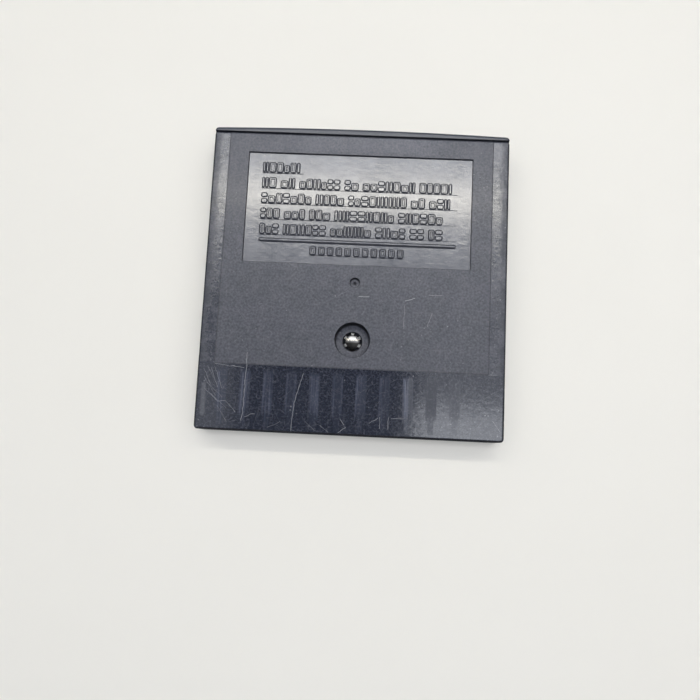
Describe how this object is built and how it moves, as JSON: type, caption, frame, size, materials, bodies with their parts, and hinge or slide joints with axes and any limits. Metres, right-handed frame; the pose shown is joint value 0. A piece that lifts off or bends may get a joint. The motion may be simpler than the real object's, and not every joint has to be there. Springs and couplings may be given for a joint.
{
  "type": "game cartridge",
  "caption": "Flat moulded game cartridge: half shells held by a security screw around a circuit board whose gold edge contacts plug into a handheld console.",
  "frame": {"origin": "under the middle of the cartridge, on the plane of its front face", "axes": "+Z out of the rear face, +Y from the connector mouth to the grip lip, +X to the right as seen from behind"},
  "size_m": [0.066, 0.0682, 0.009],
  "materials": {
    "shell_plastic": "moulded black plastic, fine matte grain with a polished border and panel, worn",
    "screw_steel": "zinc plated steel, dulled",
    "board_laminate": "glass-fibre laminate under green solder mask",
    "contact_gold": "hard gold plating",
    "chip_resin": "matte moulded resin",
    "lead_tin": "tin plating",
    "capacitor_ceramic": "fired ceramic"
  },
  "bodies": {
    "root": {"front_shell": "shell_plastic", "rear_shell": "shell_plastic", "case_screw": "screw_steel", "circuit_board": "board_laminate", "edge_contacts": "contact_gold", "rom_package": "chip_resin", "rom_leads": "lead_tin", "capacitor_body": "capacitor_ceramic", "capacitor_ends": "lead_tin"}
  },
  "joints": []
}
